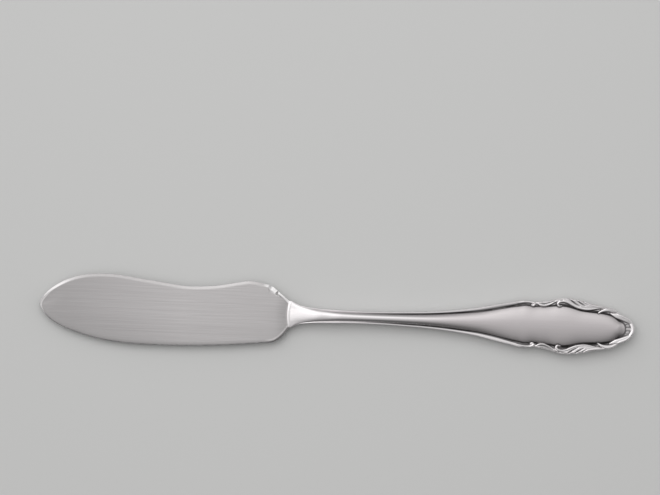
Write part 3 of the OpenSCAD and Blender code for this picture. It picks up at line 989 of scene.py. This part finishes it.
@dataclass(frozen=True)
class Handle:
    """The hollow handle: two half shells with a struck border, the solder between them and the ferrule."""

    joint: Joint
    length: float = 102.0
    mouth_thickness: float = 2.4
    # Length of the flare from the mouth up to the neck, and the share of it that is a straight ramp
    flare_length: float = 15.2
    flare_straight: float = 0.47
    neck_at: float = 20.5
    neck_width: float = 3.56
    neck_thickness: float = 4.8
    shoulder_at: float = 70.5
    shoulder_width: float = 13.7
    width: float = 16.4
    body_thickness: float = 4.6
    # Height of the border above the mid plane along X: the neck is nearly square, the end lies low
    border_height: Table = (
        (0, 0.9), (2, 1.0), (5, 1.25), (10, 1.58), (15, 1.75), (20, 1.74), (25, 1.69), (35, 1.54),
        (50, 1.34), (62, 1.25), (72, 1.2), (80, 1.25), (86, 1.38), (102, 1.38))
    border_tilt: float = 0.05
    # Depth of the border, from the outline in to the groove where the smooth field begins, along X
    border_depth: Table = (
        (0, 0.1), (3, 0.14), (7, 0.34), (12, 0.46), (25, 0.52), (35, 0.6), (50, 0.84), (62, 1.28),
        (68, 1.15), (72, 1.2), (76, 1.5), (80, 1.95), (83, 2.35), (86, 2.75), (88.5, 2.45), (91, 2.0),
        (93, 1.9), (95.5, 2.1), (98, 2.0), (99.5, 1.95), (100.5, 2.1), (102, 2.55))
    # Ribs in the running mean of that depth, and where along X the mean takes over
    border_smoothing: int = 41
    smooth_border: Span = (64.0, 69.0)
    # Power of the crown's fall along X: the lower it is, the more steeply the crown meets its border
    crown_power: Table = ((8, 0.7), (20, 0.88), (40, 0.88), (60, 0.7))
    crown_bend: float = 2.1
    # How far the handle sways off its axis along X: a hair towards the blade's edge, most at the end
    sway: Table = (
        (3, 0.0), (8, -0.1), (15, -0.1), (25, -0.08), (40, -0.06), (64, -0.06), (73, -0.12), (82, -0.27),
        (91, -0.43), (100, -0.5))
    # The thread: its crest in from the outline, at most a share of the border, and how its two sides fall
    thread_in: float = 0.4
    thread_share: float = 0.66
    thread_fullness: float = 1.5
    thread_fall: float = 0.1
    # Its height at the neck and further on, where that changes, and where it comes up and ends in the bud
    thread_height: float = 0.16
    wide_thread_height: float = 0.22
    thread_growth: Span = (40.0, 60.0)
    thread_start: Span = (0.8, 14.8)
    thread_end: Span = (68.5, 71.5)
    # Relief of the ornament as a share of the die's, and the moats round it, which stay off the outline
    relief: float = 0.45
    moat_width: float = 0.4
    moat_depth: float = 0.1
    moat_clear: Span = (0.4, 0.8)
    # Share of painted shade in the recesses along X, and how far it lies on each side of the groove's line
    painted_shade_share: Table = (
        (9, 0.0), (20, 0.2), (25, 0.45), (35, 0.8), (50, 0.87), (62, 0.86), (70, 0.86), (75, 1.0),
        (98.5, 1.0), (100.5, 0.75))
    painted_shade_core: Table = (
        (20, 0.06), (30, 0.14), (50, 0.14), (62, 0.15), (67, 0.26), (71, 0.26), (73.5, 0.16), (78, 0.16),
        (80.5, 0.3), (91, 0.28), (95, 0.18))
    painted_shade_fade: float = 0.22
    painted_shade_lean: float = 0.8
    painted_shade_clear: Span = (0.1, 0.4)
    # Lift that clears the painted shade, lift that is fully polished, and depth of cut that is fully painted
    # dark
    shallow: float = 0.12
    proud: float = 0.3
    dark_cut: float = 0.55
    # Where the neck's polish turns to the field's satin, and the last share of the field, polished again
    satin_from: Span = (28.0, 52.0)
    field_rim: Span = (0.94, 1.0)
    rim: float = 0.1
    wall: float = 0.5
    film: float = 0.1
    seam_inset: float = 0.03
    # Width of the border inside the shell, along the thread and along the scrolls
    thread_width: float = 0.6
    scroll_width: float = 2.0
    scroll_fade: float = 3.0
    ferrule_length: float = 0.8
    ferrule_round: float = 0.08
    ferrule_taper: float = 0.06
    ferrule_steps: int = 6
    slot_clearance: float = 0.1
    bulge_fade: float = 6.0
    # Where the ribs' feet begin to lag and where they stop, so that the last ribs fan out from one point
    fan: Span = (93.5, 99.5)
    # Spacing of the ribs, closer over the scrolls, and where it changes
    row_step: float = 0.4
    scroll_row_step: float = 0.1
    scroll_rows: Span = (66.0, 70.0)
    # Columns over the field and the border, how they crowd outwards, and the reach of the border's columns
    field_columns: int = 14
    field_spread: float = 0.8
    border_columns: int = 34
    border_spread: float = 1.25
    border_reach: float = 3.2
    border_share: float = 0.62
    wall_columns: int = 5
    inner_shares: tuple[float, ...] = (0, 0.3, 0.5, 0.7, 0.85, 1)

    def outline(self) -> Array:
        """Draws the handle's upper edge as one smooth curve.

        Returns:
            Its points from the mouth to the end.
        """
        # Knots hold a share of the stretch along X and a share of its change in width
        flare = np.array([[0, 1], [0.12, 0.51], [0.3, 0.24], [0.6, 0.09]])
        swell = np.array([[0, 0], [0.27, 0.05], [0.5, 0.19], [0.7, 0.45], [0.88, 0.82], [1, 1]])
        scroll = np.array([
            [0.057, 0.805], [0.14, 0.845], [0.21, 0.885], [0.28, 0.962], [0.365, 1], [0.45, 0.97],
            [0.56, 0.89], [0.62, 0.83], [0.73, 0.757], [0.79, 0.72], [0.835, 0.62], [0.875, 0.51],
            [0.93, 0.42], [0.965, 0.31], [0.99, 0.16], [1, 0]])
        knots = np.vstack([
            np.column_stack([mix(self.ferrule_length, self.neck_at, flare[:, 0]),
                             mix(self.neck_width, self.joint.width, flare[:, 1]) / 2]),
            np.column_stack([mix(self.neck_at, self.shoulder_at, swell[:, 0]),
                             mix(self.neck_width, self.shoulder_width, swell[:, 1]) / 2]),
            np.column_stack([mix(self.shoulder_at, self.length, scroll[:, 0]),
                             scroll[:, 1] * self.width / 2])])
        return smooth_curve(knots, 2 * knots[0] - knots[1], knots[-2] * (1, -1))

    def flare(self, x: Array) -> Array:
        """Rises from 0 at the mouth to 1 at the neck: a straight ramp, then a parabola that levels out.

        Args:
            x: X of the ribs.

        Returns:
            The share of the rise at each.
        """
        share = np.clip((x - self.ferrule_length) / self.flare_length, 0, 1)
        slope = 2 / (1 + self.flare_straight)
        level = 1 - slope * (1 - share) ** 2 / (2 - 2 * self.flare_straight)
        return np.where(share < self.flare_straight, slope * share, level)

    def crown_height(self, x: Array) -> Array:
        """Gives the height of the handle's middle: up the flare to the neck, then gently down to the field.

        Args:
            x: X of the ribs.

        Returns:
            The height at each.
        """
        neck = mix(self.mouth_thickness, self.neck_thickness, self.flare(x))
        fall = (self.neck_thickness - self.body_thickness) * rise(x, (self.neck_at, self.shoulder_at))
        return (neck - fall) / 2

    def foot_height(self, x: Array) -> Array:
        """Gives the height at which the field meets its border."""
        return smooth_at(x, self.border_height)

    def crown(self, q: Array, x: Array) -> Array:
        """Falls from 1 in the middle to 0 at the border: one less q to the bend, all to the power at x."""
        return np.clip(1 - q ** self.crown_bend, 0, 1) ** straight_at(x, self.crown_power)

    def rows(self) -> tuple[Array, Array, Array]:
        """Spaces the mesh's ribs along the outline, closer over the scrolls.

        Returns:
            The ribs' ends on the outline, their feet on the axis, and how squarely each meets the outline.
        """
        curve = self.outline()
        step = mix(self.row_step, self.scroll_row_step, rise(curve[:, 0], self.scroll_rows))
        edge = along(curve, travelled(curve), spaced(curve, step))
        start, end = self.fan
        share = np.clip((edge[:, 0] - start) / (end - start), 0, 1)
        lagging = np.minimum(edge[:, 0], start) + (end - start) * (share - share ** 2 / 2)
        foot = np.column_stack([lagging, np.zeros(len(edge))])
        tangent = np.gradient(edge, axis=0)
        tangent[-1] = (0, -1)
        tangent /= lengths(tangent)
        rib = (edge - foot) / lengths(edge - foot)
        square = np.abs(rib[:, 0] * tangent[:, 1] - rib[:, 1] * tangent[:, 0])
        return edge, foot, square

    def field_limit(self, x: Array, length: Array) -> Array:
        """Gives the field's half width along each rib; over the scrolls a running mean lets it flow.

        Args:
            x: X of the ribs.
            length: Their lengths.

        Returns:
            The way along each rib to the end of the field.
        """
        limit = length - smooth_at(x, self.border_depth)
        window = np.hanning(self.border_smoothing + 2)[1:-1]
        padded = np.pad(limit[:, 0], self.border_smoothing // 2, mode="reflect")
        flowing = np.convolve(padded, window / window.sum(), mode="valid")[:, None]
        return mix(limit, flowing, rise(x, self.smooth_border))

    def ribs(self) -> Ribs:
        """Divides the ribs into columns, wide over the field and close over the border.

        Returns:
            The ribs with their columns.
        """
        edge, foot, square = self.rows()
        x = edge[:, :1]
        length = lengths(edge - foot)
        reach = np.minimum(self.border_reach, self.border_share * length)
        inner = (length - reach) * np.linspace(0, 1, self.field_columns + 1)[:-1] ** self.field_spread
        outer = length - reach * np.linspace(1, 0, self.border_columns) ** self.border_spread
        way = np.hstack([inner, outer])
        inward = (length - way) * square[:, None]
        return Ribs(x, length, self.field_limit(x, length), way, on_chords(foot, edge, way), inward)

    def bulged(self, plan: Array, x: Array) -> Array:
        """Bows the mouth's ribs with the joint; the bow dies away along the handle."""
        bow = self.joint.x(plan[..., 1]) * (1 - ease((x - self.ferrule_length) / self.bulge_fade))
        return np.dstack([plan[..., 0] + bow, plan[..., 1]])

    def swaying(self, surface: Surface) -> Surface:
        """Bends a piece with the handle's axis, which is a smooth curve through its knots."""
        shift = smooth_at(surface.points[:, 0], self.sway)
        return replace(surface, points=surface.points + np.outer(shift, (0, 1, 0)))

    def ground(self, ribs: Ribs) -> Array:
        """Works out the ground on which the ornament is struck.

        The field's height is its foot plus the crown, down to the groove. From there the thread rises as a
        power of one less a square to its crest, and falls by a small share of a square to the outline.

        Args:
            ribs: The ribs with their columns.

        Returns:
            Heights, one rib a row.
        """
        foot = self.foot_height(ribs.x)
        crown = self.crown(np.minimum(ribs.way / ribs.limit, 1), ribs.x)
        crowned = foot + (self.crown_height(ribs.x) - foot) * crown
        depth = ribs.length - ribs.limit
        outward = np.clip((ribs.length - ribs.way) / depth, 0, 1)
        crest = np.minimum(self.thread_in / depth, self.thread_share)
        inner_side = np.clip(1 - ((outward - crest) / (1 - crest)) ** 2, 0, 1) ** self.thread_fullness
        outer_side = 1 - self.thread_fall * (1 - outward / crest) ** 2
        shown = rise(ribs.x, self.thread_start) * (1 - rise(ribs.x, self.thread_end))
        height = mix(self.thread_height, self.wide_thread_height, rise(ribs.x, self.thread_growth)) * shown
        thread = height * np.where(outward > crest, inner_side, outer_side)
        return np.maximum(crowned, foot + self.border_tilt * np.maximum(ribs.way - ribs.limit, 0) + thread)

    def strike(self, ribs: Ribs, ground: Array) -> tuple[Array, Array, Array, Array]:
        """Strikes the ornament: raised strokes stand in shallow moats, and grooves are cut into them.

        Args:
            ribs: The ribs with their columns.
            ground: Heights of the ground.

        Returns:
            The struck heights, the lift of the strokes, the share of the moats and the depth of the grooves.
        """
        flat = ribs.plan.reshape(-1, 2)
        shape = ground.shape
        moat = np.max([stroke.moat(flat, self.moat_width) for stroke in RAISED], axis=0).reshape(shape)
        moat *= rise(ribs.inward, self.moat_clear)
        base = ground - self.moat_depth * moat
        lift = np.max([stroke.lift(flat, base.reshape(-1)) for stroke in RAISED], axis=0).reshape(shape)
        lift *= self.relief
        cut = np.max([stroke.depth(flat) for stroke in CUT], axis=0).reshape(shape)
        return base + lift - self.relief * cut, lift, moat, cut

    def polish_and_shade(self, ribs: Ribs, lift: Array, moat: Array, cut: Array) -> dict[str, Array]:
        """Says how polished the outside is and how much painted shade darkens it, each from 0 to 1.

        The neck, the border and the raised strokes are polished. Painted shade lies along the groove round
        the field, in the moats and in the cuts, but not on the outline's rim.

        Args:
            ribs: The ribs with their columns.
            lift: Lift of the raised strokes.
            moat: Share of the moats.
            cut: Depth of the grooves.

        Returns:
            The values by name, one rib a row.
        """
        past = ribs.way - ribs.limit
        off = np.where(past > 0, self.painted_shade_lean * past, -past)
        groove = ease(1 - (off - straight_at(ribs.x, self.painted_shade_core)) / self.painted_shade_fade)
        bare = 1 - np.clip(lift / self.shallow, 0, 1)
        # Painted shade: darkens the groove round the field, the moats and the cuts
        painted_shade = np.maximum(np.maximum(groove, moat) * bare, np.clip(cut / self.dark_cut, 0, 1))
        painted_shade *= straight_at(ribs.x, self.painted_shade_share) * rise(ribs.inward, self.painted_shade_clear)
        raised = np.maximum(np.clip(lift / self.proud, 0, 1), rise(ribs.way / ribs.limit, self.field_rim))
        return {"polish": np.maximum(raised, 1 - rise(ribs.x, self.satin_from)), "painted_shade": painted_shade}

    def outer(self) -> tuple[Array, dict[str, Array]]:
        """Works out the outside of half a shell, from the axis over the field and the border to the seam.

        Near the outline the struck surface falls away as a quarter ellipse, and a plain wall goes down to
        the seam.

        Returns:
            Points as rows, columns and X, Y, Z, and how polished each one is and how much painted shade
            darkens it.
        """
        ribs = self.ribs()
        struck, lift, moat, cut = self.strike(ribs, self.ground(ribs))
        low = self.foot_height(ribs.x) - self.rim
        brim = np.sqrt(np.clip(1 - (1 - np.clip(ribs.inward / self.rim, 0, 1)) ** 2, 0, 1))
        wall_z = mix(low, self.film / 2, np.linspace(0, 1, self.wall_columns + 1)[1:])
        side = np.repeat(ribs.plan[:, -1:], self.wall_columns, axis=1)
        plan = self.bulged(np.hstack([ribs.plan, side]), ribs.x)
        points = np.dstack([plan, np.hstack([low + (struck - low) * brim, wall_z])])
        plain = {"polish": np.ones_like(wall_z), "painted_shade": np.zeros_like(wall_z)}
        polished_and_shaded = self.polish_and_shade(ribs, lift, moat, cut)
        return points, {key: np.hstack([polished_and_shaded[key], plain[key]]) for key in plain}

    def inner(self) -> Array:
        """Works out the inside of half a shell: the crown one wall lower, a flat land and the seam's edge.

        Returns:
            Points as rows, columns and X, Y, Z.
        """
        edge, foot, _ = self.rows()
        x = edge[:, :1]
        length = lengths(edge - foot)
        band = mix(self.thread_width, self.scroll_width, ease((x - self.shoulder_at) / self.scroll_fade))
        land = length - self.wall
        wide = np.minimum(land, length - band) - self.wall / 2
        shares = np.array(self.inner_shares)
        base = self.foot_height(x)
        dome = base - self.wall + (self.crown_height(x) - base) * self.crown(shares, x)
        plan = on_chords(foot, edge, np.hstack([shares * wide, land, land]))
        z = np.hstack([dome, base - self.wall, np.full_like(x, self.film / 2)])
        return np.dstack([self.bulged(plan, x), z])

    def shell_surface(self, side: Side) -> Surface:
        """Closes a half shell: outside, inside, the seam's land and the mouth's end, with its mirror image.

        Args:
            side: Which of the two shells.

        Returns:
            The closed surface.
        """
        outer, values = self.outer()
        inner = self.inner()
        rows, cols, _ = outer.shape
        inner_cols = inner.shape[1]
        first = rows * cols
        out = np.arange(first).reshape(rows, cols)
        into = first + np.arange(rows * inner_cols).reshape(rows, inner_cols)
        quads = np.vstack([
            grid_faces(rows, cols), grid_faces(rows, inner_cols, first)[:, ::-1],
            strip_faces(out[:, -1], into[:, -1])])
        mouth = [*out[0].tolist(), *into[0, ::-1].tolist()]
        points = np.vstack([outer.reshape(-1, 3), inner.reshape(-1, 3)]) * (1, 1, side.value)
        blank = np.zeros(rows * inner_cols)
        kept = {key: np.concatenate([value.reshape(-1), blank]) for key, value in values.items()}
        return self.swaying(Surface(points, quads, [mouth], kept).mirrored())

    def seam_surface(self) -> Surface:
        """Carries the film's flat section along the outline, a hair inside the shells' edges.

        Returns:
            The closed film.
        """
        outer, _ = self.outer()
        rim, land = outer[:, -1, :2], self.inner()[:, -1, :2]
        inward = (land - rim) / lengths(land - rim)
        edge = rim + self.seam_inset * inward
        high = np.full((len(rim), 1), self.film / 2)
        section = ((edge, high), (edge, -high), (land, -high), (land, high))
        points = np.stack([np.hstack([line, z]) for line, z in section], axis=1)
        rows, corners, _ = points.shape
        number = np.arange(rows * corners).reshape(rows, corners)
        wrapped = np.hstack([number, number[:, :1]])
        quads = np.concatenate([strip_faces(wrapped[:, k], wrapped[:, k + 1]) for k in range(corners)])
        return self.swaying(Surface(points.reshape(-1, 3), quads, [number[0].tolist()]).mirrored())

    def ferrule_surface(self, tang_width: float, tang_thickness: float) -> Surface:
        """Carries the ferrule's section, square inside and rounded outside, round the mouth.

        Args:
            tang_width: Width of the tang that the slot lets through.
            tang_thickness: Thickness of the tang.

        Returns:
            The closed ring.
        """
        outer, _ = self.outer()
        quarter = outer[0, 1:, 1:]
        half = np.vstack([(quarter * (-1, 1))[::-1], quarter])
        loop = np.vstack([half, (half * (1, -1))[::-1]])
        slot = np.array([tang_width, tang_thickness]) / 2 + self.slot_clearance
        hole = loop / (np.abs(loop) / slot).max(axis=1)[:, None]
        turn = np.linspace(0, math.pi / 2, self.ferrule_steps)
        front = self.ferrule_round * (1 - np.column_stack([np.sin(turn), np.cos(turn)]))[::-1]
        back = front[::-1] * (-1, 1) + (self.ferrule_length, 0)
        section = np.vstack([front, back])
        ring = on_chords(loop, hole, np.broadcast_to(section[:, 1], (len(loop), len(section))))
        ring[..., 1] *= 1 - self.ferrule_taper * (1 - section[:, 0] / self.ferrule_length)
        ring = np.concatenate([ring, hole[:, None], hole[:, None]], axis=1)
        offset = np.concatenate([section[:, 0], [self.ferrule_length, 0]])
        points = np.dstack([self.joint.x(ring[..., 0]) + offset, ring]).reshape(-1, 3)
        count = len(points)
        values = {"polish": np.ones(count), "painted_shade": np.zeros(count)}
        return Surface(points, ring_faces(*ring.shape[:2]), values=values)

    def build(self, place: KnifeFrame, blade: Blade, plate: Material, solder: Material) -> None:
        """Makes the shells, the seam and the ferrule and dresses them.

        Args:
            place: Frame that carries the points to the row.
            blade: Blade whose tang the ferrule lets through.
            plate: Finish of the shells and the ferrule.
            solder: Finish of the seam.
        """
        shells = ((Side.FRONT, "struck_front", "front_shell"), (Side.BACK, "struck_back", "back_shell"))
        for side, name, node in shells:
            shell = self.shell_surface(side).piece(name, place)
            shell.data.materials.append(plate)
            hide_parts(node)
        ferrule = self.ferrule_surface(blade.tang_width, blade.tang_thickness).piece("mouth_band", place)
        ferrule.data.materials.append(plate)
        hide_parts("ferrule")
        seam = self.seam_surface().piece("seam_line", place)
        seam.data.materials.append(solder)
        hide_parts("solder_seam")


# Studio


@dataclass(frozen=True)
class Studio:
    """A pale table under soft light from above and behind, and a camera that looks straight down."""

    table_colour: str = "cacac9"
    table_roughness: float = 0.9
    table_gloss: float = 0.2
    table_size: float = 12.0
    # Where the camera looks, from the middle of the knife's box, and the width that it sees, in mm
    aim: tuple[float, float] = (-2.78, 20.46)
    view_width: float = 194.3
    turn: float = 2.28
    lens: float = 100.0
    sensor: float = 36.0
    key_place: tuple[float, float, float] = (-0.05, 0.2, 0.44)
    key_size: float = 0.45
    key_power: float = 0.8
    # Light of the room by direction: the level from -Y to +Y, and what it is multiplied by from -X to +X
    front_to_back: Table = (
        (-1.0, 0.1), (-0.9, 0.1), (-0.75, 0.15), (-0.6, 0.26), (-0.43, 0.39), (-0.25, 0.5), (-0.1, 0.58),
        (0.0, 0.64), (0.12, 0.76), (0.25, 0.88), (0.36, 0.94), (0.46, 0.96), (0.55, 0.87), (0.66, 0.7),
        (0.8, 0.48), (0.9, 0.34), (1.0, 0.25))
    left_to_right: Table = (
        (-1.0, 1.1), (-0.5, 1.6), (-0.34, 1.85), (-0.24, 1.9), (-0.21, 1.8), (-0.185, 1.25), (-0.16, 1.08),
        (-0.13, 1.1), (-0.1, 1.3), (-0.06, 1.55), (-0.03, 1.45), (0.0, 1.12), (0.05, 1.03), (0.12, 1.01),
        (0.155, 0.94), (0.3, 0.72), (0.5, 0.62), (0.75, 0.7), (1.0, 0.9))
    # A ramp's colours end at 1, so the levels are divided by this and the light is multiplied by it again
    level_scale: float = 2.5

    def table(self) -> None:
        """Lays the table top at the knife's lowest point."""
        half = self.table_size / 2
        corners = [(-half, -half, 0), (half, -half, 0), (half, half, 0), (-half, half, 0)]
        mesh = bpy.data.meshes.new("table_top")
        mesh.from_pydata(corners, [], [(0, 1, 2, 3)])
        top = bpy.data.objects.new("table_top", mesh)
        bpy.context.scene.collection.objects.link(top)
        made, tree, shader = new_material("matt_table")
        connect(tree, shader, {
            "Base Color": linear(self.table_colour), "Roughness": self.table_roughness,
            "Specular IOR Level": self.table_gloss})
        mesh.materials.append(made)

    def room(self) -> None:
        """Lights the knife from all round: bright above, behind and in a band to each side, dim in front."""
        world = bpy.data.worlds.new("soft_room")
        bpy.context.scene.world = world
        world.use_nodes = True
        tree = world.node_tree
        tree.nodes.clear()
        direction = add_node(tree, "ShaderNodeTexCoord").outputs["Generated"]
        axes = add_node(tree, "ShaderNodeSeparateXYZ", {"Vector": direction}).outputs
        levels = []
        for axis, stops in (("Y", self.front_to_back), ("X", self.left_to_right)):
            share = add_node(tree, "ShaderNodeMapRange", {
                "Value": axes[axis], "From Min": -1.0, "From Max": 1.0})
            ramp = add_node(tree, "ShaderNodeValToRGB", {"Fac": share.outputs[0]})
            marks = ramp.color_ramp.elements
            for place, _ in stops[len(marks):]:
                marks.new((place + 1) / 2)
            for mark, (place, level) in zip(marks, stops):
                mark.position = (place + 1) / 2
                mark.color = (level / self.level_scale,) * 3 + (1.0,)
            levels.append(ramp.outputs["Color"])
        light = add_node(tree, "ShaderNodeMix", {
            FACTOR: 1.0, COLOUR_A: levels[0], COLOUR_B: levels[1]},
            data_type="RGBA", blend_type=Blend.SHADE.value).outputs[COLOUR_OUT]
        room = add_node(tree, "ShaderNodeBackground", {"Color": light, "Strength": self.level_scale ** 2})
        add_node(tree, "ShaderNodeOutputWorld", {"Surface": room.outputs[0]})

    def key(self) -> None:
        """Hangs one soft box above and behind, turned to the knife; metal mirrors the room, not the box."""
        light = bpy.data.lights.new("soft_box", "AREA")
        light.size = self.key_size
        light.energy = self.key_power
        box = bpy.data.objects.new("soft_box", light)
        bpy.context.scene.collection.objects.link(box)
        box.location = self.key_place
        box.visible_glossy = False
        x, y, z = self.key_place
        box.rotation_euler = (math.atan2(math.hypot(x, y), z), 0, math.atan2(x, -y))

    def camera(self, mid_height: float) -> None:
        """Hangs the camera so that the photographed width fits at the knife's mid plane.

        Args:
            mid_height: Height of the mid plane in metres.
        """
        lens = bpy.data.cameras.new("overhead")
        lens.lens = self.lens
        lens.sensor_width = self.sensor
        eye = bpy.data.objects.new("overhead", lens)
        bpy.context.scene.collection.objects.link(eye)
        away = self.view_width * MM * self.lens / self.sensor
        eye.location = (self.aim[0] * MM, self.aim[1] * MM, mid_height + away)
        eye.rotation_euler = (0, 0, math.radians(self.turn))
        bpy.context.scene.camera = eye

    def build(self, mid_height: float) -> None:
        """Sets up the table, the light and the camera.

        Args:
            mid_height: Height of the knife's mid plane in metres.
        """
        self.table()
        self.room()
        self.key()
        self.camera(mid_height)
        bpy.context.scene.view_settings.view_transform = "Standard"


def main() -> None:
    """Builds and dresses the knife piece by piece, then sets it in the studio."""
    logging.basicConfig(level=logging.INFO, format="%(name)s: %(message)s")
    joint = Joint()
    blade = Blade(joint)
    place = KnifeFrame.from_box(blade.length, blade.drop)
    blade.build(place, BrushedStainless().material())
    Handle(joint).build(place, blade, SilverPlate().material(), FiledSolder().material())
    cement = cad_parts["cement_core"]
    cement.material_slots[0].material = ResinCement().material()
    LOG.info("cement_core: kept, with its own finish")
    Studio().build(place.shift[2] * MM)


if __name__ == "__main__":
    main()
